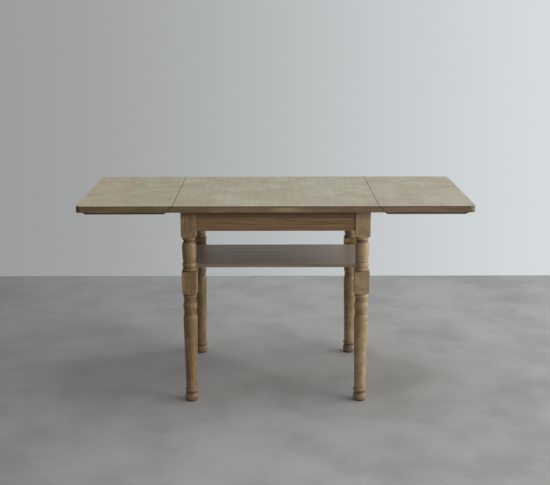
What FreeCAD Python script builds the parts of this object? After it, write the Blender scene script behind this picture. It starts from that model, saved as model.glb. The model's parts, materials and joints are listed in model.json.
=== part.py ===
import FreeCAD, Part
import math
import os
import re
import Sketcher

# Drop-leaf table on four turned legs: a fixed centre board, two leaves hung on rule joints, battens under
# the leaves, a plain apron frame, and a thin shelf carried by a rail at each end.
# X runs along the table through both leaves, -Y is the front, Z is up, and the floor is at zero.

sizes = {
    # table top
    "table_height": 720,
    "top_thick": 23.5,
    "top_depth": 608,
    "center_width": 708,
    "leaf_width": 332,
    "leaf_corner": 16,
    "arris": 2,
    # rule joint between the centre board and a leaf
    "rule_shoulder": 4,
    "rule_radius": 14.5,
    "rule_gap": 0.4,
    # legs: spacing between axes, square blank, and the cutter's reach past the corners
    "leg_span_x": 604,
    "leg_span_y": 528,
    "leg_square": 52,
    "leg_arris": 1.5,
    "cutter_reach": 14,
    # leg turning below the middle block, heights from the floor and radii
    "foot_pad": 18,
    "foot_radius": 24,
    "foot_height": 30,
    "ankle_neck": 19.6,
    "ankle_groove": 3,
    "ankle_ring_radius": 23.4,
    "ankle_ring_height": 16,
    "shaft_radius": 25,
    "shaft_head": 306,
    "drum_neck": 22,
    "drum_groove": 16,
    "drum_base": 338,
    "drum_head": 367,
    "drum_radius": 24.8,
    "cove_radius": 21.5,
    "bead_base": 383,
    "bead_head": 397,
    "bead_radius": 24,
    "base_collar": 22.4,
    "middle_base": 400,
    "base_shoulder": 14,
    # leg turning between the middle block and the top block
    "middle_head": 482,
    "head_shoulder": 5,
    "ring_neck": 21.8,
    "head_ring_radius": 25,
    "head_ring_height": 11,
    "ring_groove": 2,
    "vase_ring_radius": 24.8,
    "vase_ring_height": 18,
    "belly_radius": 25,
    "belly_height": 566,
    "neck_radius": 17.8,
    "neck_height": 592,
    "collar_radius": 23.2,
    "collar_height": 9,
    "upper_base": 604,
    "upper_shoulder": 19,
    # apron frame
    "apron_height": 68,
    "apron_thick": 20,
    "apron_setback": 4,
    "tenon_thick": 10,
    "tenon_long": 20,
    "tenon_foot": 10,
    "tenon_head": 22,
    "mortise_clear": 0.1,
    "mortise_deep": 1,
    "block_gap": 1,
    "block_thick": 22,
    "block_height": 40,
    "block_rise": 5,
    # wooden buttons that hold the top to the apron
    "groove_drop": 10,
    "groove_wide": 8,
    "groove_deep": 8,
    "button_wide": 30,
    "button_long": 34,
    "button_tongue": 6,
    "button_play": 0.4,
    "button_web": 14,
    "button_spread": 190,
    # shelf and the rail under each end of it
    "shelf_top": 477,
    "shelf_thick": 13,
    "shelf_depth": 304,
    "rail_thick": 18,
    "rail_height": 46,
    "rail_tenon_thick": 9,
    "rail_tenon_edge": 8,
    "rail_web": 17,
    "shelf_screw_spread": 105,
    # battens under the leaves
    "batten_thick": 13,
    "batten_width": 38,
    "batten_setback": 36,
    "batten_seam_gap": 16,
    "batten_end_gap": 9,
    "batten_bevel": 18,
    "batten_lip": 4,
    "batten_screw_end": 45,
    # hinges let into the underside, pin on the centre of the rule joint
    "hinge_long": 42,
    "hinge_spread": 140,
    "hinge_play": 0.4,
    "knuckle_radius": 4,
    "pin_radius": 1.6,
    "pin_play": 0.05,
    "plate_thick": 2,
    "plate_start": 6.5,
    "fixed_plate_end": 28,
    "moving_plate_end": 58,
    # countersunk screws
    "head_radius": 3.6,
    "shank_radius": 1.9,
    "head_high": 1.7,
    "short_screw": 13,
    "long_screw": 26,
    # folding stay under the middle of each leaf
    "stay_thick": 3,
    "stay_gap": 0.3,
    "stay_width": 12,
    "stay_reach": 140,
    "stay_leaf_drop": 10,
    "stay_pivot_out": 12,
    "stay_pivot_drop": 39,
    "bracket_thick": 2.5,
    "bracket_wide": 34,
    "bracket_long": 46,
    "bracket_hole_edge": 7,
    "rivet_radius": 2.5,
    "rivet_head": 5,
    "rivet_dome": 1.5,
}

doc = FreeCAD.newDocument("drop_leaf_table")
sheet = doc.addObject("Spreadsheet::Sheet", "Sizes")
for row, (alias, amount) in enumerate(sizes.items(), start=1):
    sheet.set("A%d" % row, alias)
    sheet.set("B%d" % row, str(amount))
    sheet.setAlias("B%d" % row, alias)
doc.recompute()

up = FreeCAD.Vector(0, 0, 1)
across = FreeCAD.Vector(0, 1, 0)

# places that several pieces share
underside = "(table_height - top_thick)"
half_width = "(center_width / 2)"
half_depth = "(top_depth / 2)"
half_leg = "(leg_square / 2)"
leg_x = "(leg_span_x / 2)"
leg_y = "(leg_span_y / 2)"
pin_rise = "(top_thick - rule_shoulder - rule_radius)"
pin_height = "(table_height - rule_shoulder - rule_radius)"
apron_base = "(table_height - top_thick - apron_height)"
apron_center = "(leg_square / 2 - apron_setback - apron_thick / 2)"
side_face = "(leg_span_x / 2 + leg_square / 2 - apron_setback)"
cutter = "(leg_square / 2 + cutter_reach)"
rail_head = "(shelf_top - shelf_thick)"
rail_base = "(shelf_top - shelf_thick - rail_height)"


def bound(expression):
    return re.sub(r"[a-z_]+", lambda word: "Sizes." + word[0] if word[0] in sizes else word[0], expression)


def number(expression):
    return float(sheet.evalExpression(expression))


def new_body(label, x="0", y="0", z="0"):
    body = doc.addObject("PartDesign::Body", label)
    for name, place in zip("xyz", (x, y, z)):
        body.setExpression("Placement.Base." + name, bound(place))
    return body


def new_sketch(body, name, role, lift="0"):
    flat = body.newObject("Sketcher::SketchObject", name)
    plane = next(item for item in body.Origin.OriginFeatures if item.Role == role)
    flat.AttachmentSupport = [(plane, "")]
    flat.MapMode = "FlatFace"
    flat.setExpression("AttachmentOffset.Base.z", bound(lift))
    return flat


def place_point(flat, curve, end, x, y):
    for kind, place in (("DistanceX", x), ("DistanceY", y)):
        index = flat.addConstraint(Sketcher.Constraint(kind, -1, 1, curve, end, number(place)))
        flat.setExpression("Constraints[%d]" % index, bound(place))


def set_radius(flat, curve, radius):
    index = flat.addConstraint(Sketcher.Constraint("Radius", curve, number(radius)))
    flat.setExpression("Constraints[%d]" % index, bound(radius))


def arc_between(start, end, radius, turn):
    # an arc of less than half a circle, its centre left of the way from start to end where turn is 1
    chord = end - start
    left = FreeCAD.Vector(-chord.y, chord.x, 0).normalize()
    offset = math.sqrt(max(radius ** 2 - chord.Length ** 2 / 4, 0))
    center = (start + end) / 2 + left * offset * turn
    first, last = (start, end) if turn > 0 else (end, start)
    angles = [math.atan2(point.y - center.y, point.x - center.x) for point in (first, last)]
    return Part.ArcOfCircle(Part.Circle(center, up, radius), angles[0], angles[1])


def draw_outline(flat, corners, arcs=None, half_rounds=()):
    # a closed outline; arcs gives the radius and side of the curved runs by the corner that they leave, and
    # half_rounds names the corners that a half circle leaves, its centre on the left, square to an axis
    arcs = arcs or {}
    spots = [FreeCAD.Vector(number(x), number(y), 0) for x, y in corners]
    count = len(spots)
    first = flat.GeometryCount
    ends = []
    for index, spot in enumerate(spots):
        after = spots[(index + 1) % count]
        if index in arcs:
            radius, turn = arcs[index]
            flat.addGeometry(arc_between(spot, after, number(radius), turn), False)
            ends.append((1, 2) if turn > 0 else (2, 1))
        elif index in half_rounds:
            flat.addGeometry(arc_between(spot, after, (after - spot).Length / 2, 1), False)
            ends.append((1, 2))
        else:
            flat.addGeometry(Part.LineSegment(spot, after), False)
            ends.append((1, 2))
    for index in range(count):
        after = (index + 1) % count
        flat.addConstraint(Sketcher.Constraint("Coincident", first + index, ends[index][1],
                                               first + after, ends[after][0]))
    for index, (x, y) in enumerate(corners):
        place_point(flat, first + index, ends[index][0], x, y)
    for index, (radius, turn) in arcs.items():
        set_radius(flat, first + index, radius)
    for index in half_rounds:
        upright = abs(spots[index].x - spots[(index + 1) % count].x) < 1e-9
        kind, place = ("DistanceX", corners[index][0]) if upright else ("DistanceY", corners[index][1])
        hold_center = flat.addConstraint(Sketcher.Constraint(kind, -1, 1, first + index, 3, number(place)))
        flat.setExpression("Constraints[%d]" % hold_center, bound(place))


def draw_rectangle(flat, x_from, x_to, y_from, y_to):
    draw_outline(flat, [(x_from, y_from), (x_to, y_from), (x_to, y_to), (x_from, y_to)])


def draw_circles(flat, centers, radius):
    for x, y in centers:
        center = FreeCAD.Vector(number(x), number(y), 0)
        curve = flat.addGeometry(Part.Circle(center, up, number(radius)), False)
        place_point(flat, curve, 3, x, y)
        set_radius(flat, curve, radius)


def pad(body, flat, length, symmetric=False, reverse=False):
    feature = body.newObject("PartDesign::Pad", flat.Name + "_pad")
    feature.Profile = flat
    feature.SideType = "Symmetric" if symmetric else "One side"
    feature.Reversed = reverse
    feature.setExpression("Length", bound(length))
    doc.recompute()
    return feature


def check_cut(body, before, feature):
    doc.recompute()
    if body.Shape.Volume > before - 0.01:
        raise RuntimeError(feature.Name + " cuts nothing")


def pocket(body, flat, length, reverse=False, taper="0"):
    before = body.Shape.Volume
    feature = body.newObject("PartDesign::Pocket", flat.Name + "_cut")
    feature.Profile = flat
    feature.Reversed = reverse
    feature.setExpression("Length", bound(length))
    feature.setExpression("TaperAngle", bound(taper))
    check_cut(body, before, feature)
    return feature


def bore_through(body, flat):
    before = body.Shape.Volume
    feature = body.newObject("PartDesign::Pocket", flat.Name + "_bore")
    feature.Profile = flat
    feature.SideType = "Symmetric"
    feature.Type = "ThroughAll"
    check_cut(body, before, feature)
    return feature


def turn_away(body, flat):
    # lathe cut about the upright axis
    before = body.Shape.Volume
    feature = body.newObject("PartDesign::Groove", flat.Name + "_turning")
    feature.Profile = flat
    feature.ReferenceAxis = (flat, ["V_Axis"])
    feature.Angle = 360
    check_cut(body, before, feature)
    return feature


def turn_solid(body, flat):
    feature = body.newObject("PartDesign::Revolution", flat.Name + "_turned")
    feature.Profile = flat
    feature.ReferenceAxis = (flat, ["V_Axis"])
    feature.Angle = 360
    doc.recompute()
    return feature


def round_edges(body, name, radius, wanted):
    # rounds every edge of the body so far that the test picks out
    base = body.Tip
    names = ["Edge%d" % index for index, edge in enumerate(base.Shape.Edges, start=1) if wanted(edge)]
    feature = body.newObject("PartDesign::Fillet", name)
    feature.Base = (base, names)
    feature.setExpression("Radius", bound(radius))
    doc.recompute()
    return feature


def runs_along(edge, axis):
    first, last = edge.Vertexes[0].Point, edge.Vertexes[-1].Point
    return abs(abs((last - first).normalize().dot(axis)) - 1) < 1e-6 if first != last else False


def group(label, source, places):
    # one node of like solids: each place is x, y, z and a turn about Z, or about Y where an axis is given
    copies = []
    for x, y, z, turn, axis in places:
        copy = doc.addObject("App::Link", label + "_copy")
        copy.LinkedObject = source
        copy.Placement.Rotation = FreeCAD.Rotation(axis, turn)
        for name, place in zip("xyz", (x, y, z)):
            copy.setExpression("Placement.Base." + name, bound(place))
        copies.append(copy)
    compound = doc.addObject("Part::Compound", label)
    compound.Links = copies
    return compound


def half_turn(label, source):
    # the opposite piece of a pair: the same piece turned half round the middle of the table
    copy = doc.addObject("App::Link", label + "_copy")
    copy.LinkedObject = source
    copy.LinkTransform = True
    copy.Placement.Rotation = FreeCAD.Rotation(up, 180)
    compound = doc.addObject("Part::Compound", label)
    compound.Links = [copy]
    return compound


def bulge(height, swell):
    # radius of an arc that stands out by swell at the middle of its height
    return "(((%s) / 2)^2 + (%s)^2) / (2 * (%s))" % (height, swell, swell)


def quarter(along, across_it):
    # radius of an arc that leaves its direction at one end and has moved aside by across_it at the other
    return "((%s)^2 + (%s)^2) / (2 * (%s))" % (along, across_it, across_it)


parts = {}

# Screws: one short and one long, head down and point up, with a flat countersunk head.
screws = {}
for kind in ("short_screw", "long_screw"):
    body = new_body(kind)
    flat = new_sketch(body, kind + "_section", "XZ_Plane")
    draw_outline(flat, [("0", "0"), ("head_radius", "0"), ("shank_radius", "head_high"),
                        ("shank_radius", kind + " - shank_radius"), ("0", kind)])
    turn_solid(body, flat)
    screws[kind] = body


def countersink(body, name, role, lift, centers, reverse):
    # the tapered seat of a screw head and the hole for its shank
    seat = new_sketch(body, name + "_seat", role, lift)
    draw_circles(seat, centers, "head_radius + pin_play")
    pocket(body, seat, "head_high", reverse, "-atan((head_radius - shank_radius) / head_high)")
    hole = new_sketch(body, name + "_hole", role, lift)
    draw_circles(hole, centers, "shank_radius + pin_play")
    bore_through(body, hole)


# Centre board: the edges to the leaves are worked to an ovolo about the hinge pin.
ovolo_foot = "sqrt(rule_radius^2 - %s^2)" % pin_rise
center_top = new_body("center_top")
flat = new_sketch(center_top, "center_section", "XZ_Plane")
shoulder_height = "table_height - rule_shoulder"
draw_outline(flat, [
    ("-" + half_width, "table_height"),
    (half_width, "table_height"),
    (half_width, shoulder_height),
    (half_width + " + " + ovolo_foot, underside),
    ("-" + half_width + " - " + ovolo_foot, underside),
    ("-" + half_width, shoulder_height),
], {2: ("rule_radius", -1), 4: ("rule_radius", -1)})
pad(center_top, flat, "top_depth", symmetric=True)
depth_now = number(half_depth)
height_now = number("table_height")


def is_long_arris(edge):
    middle = edge.CenterOfMass
    return abs(abs(middle.y) - depth_now) < 1e-6 and abs(middle.z - height_now) < 1e-6


round_edges(center_top, "center_arris", "arris", is_long_arris)

# Hinge seats in the centre board: a bed for the fixed plate, room for the moving plate under the ovolo, and
# a gouged hollow for the knuckle.
hinge_half = "(hinge_long / 2 + hinge_play)"
hinge_rows = [("-1", "1"), ("-1", "-1"), ("1", "1"), ("1", "-1")]
beds = [
    ("plate_bed", "fixed_plate_end + hinge_play", "-plate_start + hinge_play", "plate_thick"),
    ("flap_bed", "plate_start", "rule_radius + rule_gap", "plate_thick + hinge_play"),
    ("knuckle_bed", "%s + hinge_play" % pin_rise, "knuckle_radius + hinge_play",
     pin_rise + " + knuckle_radius + hinge_play"),
]
for name, inward, outward, deep in beds:
    flat = new_sketch(center_top, name, "XY_Plane", underside)
    for side, end in hinge_rows:
        edges = ["%s * (%s - (%s))" % (side, half_width, inward),
                 "%s * (%s + (%s))" % (side, half_width, outward)]
        middle = "%s * hinge_spread" % end
        draw_rectangle(flat, edges[0], edges[1],
                       "%s - %s" % (middle, hinge_half), "%s + %s" % (middle, hinge_half))
    pocket(center_top, flat, deep, reverse=True)

fixed_screw_x = "((plate_start + fixed_plate_end) / 2)"
screw_y = "(hinge_long / 2 - bracket_hole_edge)"
fixed_screws = [("%s * (%s - %s)" % (side, half_width, fixed_screw_x),
                 "%s * hinge_spread + %s * %s" % (end, sign, screw_y))
                for side, end in hinge_rows for sign in ("-1", "1")]
button_y = "(%s + %s - apron_thick / 2 - button_long / 2)" % (leg_y, apron_center)
button_spots = [("%s * button_spread" % step, "%s * %s" % (end, button_y))
                for end in ("-1", "1") for step in ("-1", "0", "1")]
flat = new_sketch(center_top, "hinge_pilots", "XY_Plane", underside)
draw_circles(flat, fixed_screws, "shank_radius + pin_play")
pocket(center_top, flat, "short_screw + pin_play", reverse=True)
flat = new_sketch(center_top, "button_pilots", "XY_Plane", underside)
draw_circles(flat, button_spots, "shank_radius + pin_play")
pocket(center_top, flat, "long_screw - button_web + pin_play", reverse=True)
parts["center_top"] = center_top

# Leaf: its inner edge is coved to ride over the ovolo, its outer corners are rounded in plan.
cove = "(rule_radius + rule_gap)"
leaf_end = "(%s + leaf_width)" % half_width
right_leaf = new_body("right_leaf")
flat = new_sketch(right_leaf, "leaf_section", "XZ_Plane")
draw_outline(flat, [
    (half_width + " + rule_gap", "table_height"),
    (leaf_end, "table_height"),
    (leaf_end, underside),
    (half_width + " + " + cove, underside),
    (half_width + " + " + cove, pin_height),
    (half_width + " + rule_gap", "%s + sqrt(%s^2 - rule_gap^2)" % (pin_height, cove)),
], {4: (cove, 1)})
pad(right_leaf, flat, "top_depth", symmetric=True)
leaf_end_now = number(leaf_end)


def is_outer_corner(edge):
    return abs(edge.CenterOfMass.x - leaf_end_now) < 1e-6 and runs_along(edge, up)


def is_leaf_arris(edge):
    on_top = abs(edge.CenterOfMass.z - height_now) < 1e-6
    return on_top and not (runs_along(edge, across) and edge.CenterOfMass.x < leaf_end_now - 1)


round_edges(right_leaf, "leaf_corners", "leaf_corner", is_outer_corner)
round_edges(right_leaf, "leaf_arris", "arris", is_leaf_arris)
flat = new_sketch(right_leaf, "leaf_plate_bed", "XY_Plane", underside)
for end in ("-1", "1"):
    draw_rectangle(flat, half_width + " + rule_radius", half_width + " + moving_plate_end + hinge_play",
                   "%s * hinge_spread - %s" % (end, hinge_half), "%s * hinge_spread + %s" % (end, hinge_half))
pocket(right_leaf, flat, "plate_thick", reverse=True)

moving_screw_x = ["(moving_plate_end - bracket_hole_edge)", "(rule_radius + rule_gap + bracket_hole_edge)"]
moving_screws = [(half_width + " + " + x, "%s * hinge_spread + %s * %s" % (end, sign, screw_y))
                 for end in ("-1", "1") for sign in ("-1", "1") for x in moving_screw_x]
batten_from = "(%s + batten_seam_gap)" % half_width
batten_to = "(%s - batten_end_gap)" % leaf_end
batten_y = "(%s - batten_setback - batten_width / 2)" % half_depth
batten_middle = "((%s + %s) / 2)" % (batten_from, batten_to)
batten_half = "((%s - %s) / 2)" % (batten_to, batten_from)
batten_steps = ["-(%s - batten_screw_end)" % batten_half, "0", "(%s - batten_screw_end)" % batten_half]
batten_screws = [(batten_middle + " + " + step, "%s * %s" % (end, batten_y))
                 for end in ("-1", "1") for step in batten_steps]
leaf_pivot_x = "(%s + stay_reach)" % half_width
lug_middle = "(1.5 * stay_thick + 2 * stay_gap + stay_thick / 2)"
leaf_bracket_screws = [("%s + %s * (bracket_long / 2 - bracket_hole_edge)" % (leaf_pivot_x, along),
                        "%s + %s * (bracket_wide / 2 - bracket_hole_edge)" % (lug_middle, aside))
                       for along in ("-1", "1") for aside in ("-1", "1")]
for name, spots, deep in (("flap_pilots", moving_screws, "short_screw"),
                          ("batten_pilots", batten_screws, "long_screw - batten_thick"),
                          ("bracket_pilots", leaf_bracket_screws, "short_screw - bracket_thick")):
    flat = new_sketch(right_leaf, name, "XY_Plane", underside)
    draw_circles(flat, spots, "shank_radius + pin_play")
    pocket(right_leaf, flat, deep + " + pin_play", reverse=True)
parts["right_leaf"] = right_leaf
parts["left_leaf"] = half_turn("left_leaf", right_leaf)

# Battens that keep the leaves flat, bevelled at both ends and screwed from below.
batten = new_body("right_front_batten", batten_middle, "-" + batten_y, underside + " - batten_thick")
flat = new_sketch(batten, "batten_side", "XZ_Plane")
draw_outline(flat, [
    ("-" + batten_half, "batten_thick"),
    (batten_half, "batten_thick"),
    (batten_half, "batten_thick - batten_lip"),
    (batten_half + " - batten_bevel", "0"),
    ("-" + batten_half + " + batten_bevel", "0"),
    ("-" + batten_half, "batten_thick - batten_lip"),
])
pad(batten, flat, "batten_width", symmetric=True)
countersink(batten, "batten_screw", "XY_Plane", "0", [(step, "0") for step in batten_steps], True)
parts["right_front_batten"] = batten
parts["right_back_batten"] = group("right_back_batten", batten,
                                   [(batten_middle, batten_y, underside + " - batten_thick", 0, up)])
parts["left_back_batten"] = half_turn("left_back_batten", batten)
parts["left_front_batten"] = half_turn("left_front_batten", parts["right_back_batten"])
parts["right_batten_screws"] = group("right_batten_screws", screws["long_screw"],
                                     [(x, y, underside + " - batten_thick", 0, up) for x, y in batten_screws])
parts["left_batten_screws"] = half_turn("left_batten_screws", parts["right_batten_screws"])


# Legs: a square blank turned on the lathe below and above a square middle block, then mortised on two sides.
def make_leg(label, side):
    leg = new_body(label, "%s * %s" % (side, leg_x), "-" + leg_y)
    square = new_sketch(leg, label + "_blank", "XY_Plane")
    draw_rectangle(square, "-" + half_leg, half_leg, "-" + half_leg, half_leg)
    pad(leg, square, underside)
    round_edges(leg, label + "_arris", "leg_arris", lambda edge: runs_along(edge, up))
    lower = new_sketch(leg, label + "_lower", "XZ_Plane")
    ring_base = "foot_height + ankle_groove"
    draw_outline(lower, [
        ("foot_pad", "-leg_arris"),
        ("foot_pad", "0"),
        ("ankle_neck", "foot_height"),
        ("ankle_neck", ring_base),
        ("ankle_neck", ring_base + " + ankle_ring_height"),
        ("shaft_radius", "shaft_head"),
        ("drum_neck", "drum_base - drum_groove"),
        ("drum_neck", "drum_base"),
        ("drum_neck", "drum_head"),
        ("cove_radius", "bead_base"),
        ("cove_radius", "bead_head"),
        ("base_collar", "middle_base"),
        (cutter, "middle_base + base_shoulder"),
        (cutter, "-leg_arris"),
    ], {
        1: (bulge("foot_height", "foot_radius - (foot_pad + ankle_neck) / 2"), 1),
        3: (bulge("ankle_ring_height", "ankle_ring_radius - ankle_neck"), 1),
        5: (quarter("drum_base - drum_groove - shaft_head", "shaft_radius - drum_neck"), 1),
        7: (bulge("drum_head - drum_base", "drum_radius - drum_neck"), 1),
        9: (bulge("bead_head - bead_base", "bead_radius - cove_radius"), 1),
        11: (quarter(cutter + " - base_collar", "base_shoulder"), 1),
    })
    turn_away(leg, lower)
    upper = new_sketch(leg, label + "_upper", "XZ_Plane")
    ring_top = "middle_head + head_ring_height"
    vase_base = ring_top + " + ring_groove + vase_ring_height"
    draw_outline(upper, [
        (cutter, "middle_head - head_shoulder"),
        ("ring_neck", "middle_head"),
        ("ring_neck", ring_top),
        ("ring_neck", ring_top + " + ring_groove"),
        ("ring_neck", vase_base),
        ("belly_radius", "belly_height"),
        ("neck_radius", "neck_height"),
        ("collar_radius", "upper_base - collar_height"),
        ("collar_radius", "upper_base"),
        (cutter, "upper_base + upper_shoulder"),
    ], {
        0: (quarter(cutter + " - ring_neck", "head_shoulder"), 1),
        1: (bulge("head_ring_height", "head_ring_radius - ring_neck"), 1),
        3: (bulge("vase_ring_height", "vase_ring_radius - ring_neck"), 1),
        4: (quarter("belly_height - (%s)" % vase_base, "belly_radius - ring_neck"), 1),
        5: (quarter("neck_height - belly_height", "belly_radius - neck_radius"), 1),
        8: (quarter(cutter + " - collar_radius", "upper_shoulder"), 1),
    })
    turn_away(leg, upper)
    tenon_half = "(tenon_thick / 2 + mortise_clear)"
    tenon_from = apron_base + " + tenon_foot - mortise_clear"
    tenon_to = underside + " - tenon_head + mortise_clear"
    front = new_sketch(leg, label + "_front_mortise", "YZ_Plane", "-%s * %s" % (side, half_leg))
    draw_rectangle(front, "-%s - %s" % (apron_center, tenon_half), "-%s + %s" % (apron_center, tenon_half),
                   tenon_from, tenon_to)
    pocket(leg, front, "tenon_long + mortise_deep", reverse=side == "1")
    aside = new_sketch(leg, label + "_side_mortise", "XZ_Plane", "-" + half_leg)
    draw_rectangle(aside, "%s * %s - %s" % (side, apron_center, tenon_half),
                   "%s * %s + %s" % (side, apron_center, tenon_half), tenon_from, tenon_to)
    pocket(leg, aside, "tenon_long + mortise_deep", reverse=True)
    rail = new_sketch(leg, label + "_rail_mortise", "XZ_Plane", "-" + half_leg)
    rail_half = "(rail_tenon_thick / 2 + mortise_clear)"
    draw_rectangle(rail, "-" + rail_half, rail_half, rail_base + " + rail_tenon_edge - mortise_clear",
                   rail_head + " - rail_tenon_edge + mortise_clear")
    pocket(leg, rail, "tenon_long + mortise_deep", reverse=True)
    return leg


parts["front_right_leg"] = make_leg("front_right_leg", "1")
parts["front_left_leg"] = make_leg("front_left_leg", "-1")
parts["back_left_leg"] = half_turn("back_left_leg", parts["front_right_leg"])
parts["back_right_leg"] = half_turn("back_right_leg", parts["front_left_leg"])


# Aprons: grooved inside for the buttons, tenoned into the legs.
def apron_section(body, name, role, inward):
    groove_head = underside + " - groove_drop"
    groove_foot = groove_head + " - groove_wide"
    inner = "%s * apron_thick / 2" % inward
    floor = "%s * (apron_thick / 2 - groove_deep)" % inward
    outer = "-%s * apron_thick / 2" % inward
    board = new_sketch(body, name + "_section", role)
    draw_outline(board, [(outer, apron_base), (inner, apron_base), (inner, groove_foot), (floor, groove_foot),
                         (floor, groove_head), (inner, groove_head), (inner, underside), (outer, underside)])
    tenon = new_sketch(body, name + "_tenon", role)
    draw_rectangle(tenon, "-tenon_thick / 2", "tenon_thick / 2",
                   apron_base + " + tenon_foot", underside + " - tenon_head")
    return board, tenon


front_apron = new_body("front_apron", "0", "-(%s + %s)" % (leg_y, apron_center))
board, tenon = apron_section(front_apron, "front_apron", "YZ_Plane", "1")
pad(front_apron, board, "leg_span_x - leg_square", symmetric=True)
pad(front_apron, tenon, "leg_span_x - leg_square + 2 * tenon_long", symmetric=True)
parts["front_apron"] = front_apron
parts["back_apron"] = half_turn("back_apron", front_apron)

right_apron = new_body("right_apron", "%s + %s" % (leg_x, apron_center))
board, tenon = apron_section(right_apron, "right_apron", "XZ_Plane", "-1")
pad(right_apron, board, "leg_span_y - leg_square", symmetric=True)
pad(right_apron, tenon, "leg_span_y - leg_square + 2 * tenon_long", symmetric=True)
pivot_z = "(%s - stay_pivot_drop)" % pin_height
apron_bracket_screws = [("%s * (bracket_wide / 2 - bracket_hole_edge)" % aside,
                         "%s + %s * (bracket_long / 2 - bracket_hole_edge)" % (pivot_z, along))
                        for along in ("-1", "1") for aside in ("-1", "1")]
flat = new_sketch(right_apron, "apron_bracket_pilots", "YZ_Plane", "apron_thick / 2")
draw_circles(flat, apron_bracket_screws, "shank_radius + pin_play")
pocket(right_apron, flat, "short_screw - bracket_thick + pin_play")
parts["right_apron"] = right_apron
parts["left_apron"] = half_turn("left_apron", right_apron)

# Glued blocks across the four inner corners of the frame, clear of the legs.
corner_near = "(2 * (leg_square - apron_setback - apron_thick) + block_gap)"
corner_far = "(%s + block_thick * sqrt(2))" % corner_near
corner_block = new_body("corner_block")
flat = new_sketch(corner_block, "corner_block_plan", "XY_Plane")
draw_outline(flat, [("-" + corner_far, "0"), ("-" + corner_near, "0"), ("0", corner_near), ("0", corner_far)])
pad(corner_block, flat, "block_height")
block_x = "(%s + %s - apron_thick / 2)" % (leg_x, apron_center)
block_y = "(%s + %s - apron_thick / 2)" % (leg_y, apron_center)
block_z = apron_base + " + block_rise"
parts["corner_blocks"] = group("corner_blocks", corner_block, [
    (block_x, "-" + block_y, block_z, 0, up),
    (block_x, block_y, block_z, 90, up),
    ("-" + block_x, block_y, block_z, 180, up),
    ("-" + block_x, "-" + block_y, block_z, -90, up),
])

# Buttons: a tongue in the apron groove, screwed up into the centre board.
button = new_body("button")
flat = new_sketch(button, "button_section", "YZ_Plane")
button_base = "-(groove_drop + groove_wide)"
tongue_head = "-(groove_drop + button_play)"
draw_outline(flat, [
    ("button_play", button_base),
    ("button_long", button_base),
    ("button_long", "0"),
    ("button_play", "0"),
    ("button_play", tongue_head),
    ("-button_tongue", tongue_head),
    ("-button_tongue", "%s + button_play" % button_base),
    ("button_play", "%s + button_play" % button_base),
])
pad(button, flat, "button_wide", symmetric=True)
flat = new_sketch(button, "button_well", "XY_Plane", "-button_web")
draw_circles(flat, [("0", "button_long / 2")], "head_radius + button_play")
pocket(button, flat, "groove_drop + groove_wide - button_web")
countersink(button, "button_screw", "XY_Plane", "-button_web", [("0", "button_long / 2")], True)
button_wall = "(%s + %s - apron_thick / 2)" % (leg_y, apron_center)
parts["top_buttons"] = group("top_buttons", button, [
    ("%s * button_spread" % step, "%s * %s" % (end, button_wall), underside, 0 if end == "-1" else 180, up)
    for end in ("-1", "1") for step in ("-1", "0", "1")])
parts["top_button_screws"] = group("top_button_screws", screws["long_screw"],
                                   [(x, y, underside + " - button_web", 0, up) for x, y in button_spots])

# Shelf rails between front and back legs, and the shelf screwed down to them from below.
right_rail = new_body("right_shelf_rail", leg_x)
flat = new_sketch(right_rail, "rail_section", "XZ_Plane")
draw_rectangle(flat, "-rail_thick / 2", "rail_thick / 2", rail_base, rail_head)
pad(right_rail, flat, "leg_span_y - leg_square", symmetric=True)
flat = new_sketch(right_rail, "rail_tenon", "XZ_Plane")
draw_rectangle(flat, "-rail_tenon_thick / 2", "rail_tenon_thick / 2", rail_base + " + rail_tenon_edge",
               rail_head + " - rail_tenon_edge")
pad(right_rail, flat, "leg_span_y - leg_square + 2 * tenon_long", symmetric=True)
rail_holes = [("0", "-shelf_screw_spread"), ("0", "shelf_screw_spread")]
flat = new_sketch(right_rail, "rail_well", "XY_Plane", rail_head + " - rail_web")
draw_circles(flat, rail_holes, "head_radius + button_play")
pocket(right_rail, flat, "rail_height - rail_web")
countersink(right_rail, "rail_screw", "XY_Plane", rail_head + " - rail_web", rail_holes, True)
parts["right_shelf_rail"] = right_rail
parts["left_shelf_rail"] = half_turn("left_shelf_rail", right_rail)

shelf = new_body("shelf", "0", "0", rail_head)
flat = new_sketch(shelf, "shelf_plan", "XY_Plane")
shelf_end = "(%s + rail_thick / 2)" % leg_x
draw_rectangle(flat, "-" + shelf_end, shelf_end, "-shelf_depth / 2", "shelf_depth / 2")
pad(shelf, flat, "shelf_thick")
shelf_screws = [("%s * %s" % (side, leg_x), "%s * shelf_screw_spread" % end)
                for side in ("-1", "1") for end in ("-1", "1")]
flat = new_sketch(shelf, "shelf_pilots", "XY_Plane")
draw_circles(flat, shelf_screws, "shank_radius + pin_play")
pocket(shelf, flat, "long_screw - rail_web + pin_play", reverse=True)
parts["shelf"] = shelf
parts["shelf_screws"] = group("shelf_screws", screws["long_screw"],
                              [(x, y, rail_head + " - rail_web", 0, up) for x, y in shelf_screws])


# Hinges, drawn about the pin: two outer knuckles belong to the fixed plate, the middle one to the flap.
knuckle_long = "(hinge_long / 3)"
plate_floor = "-" + pin_rise


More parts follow.
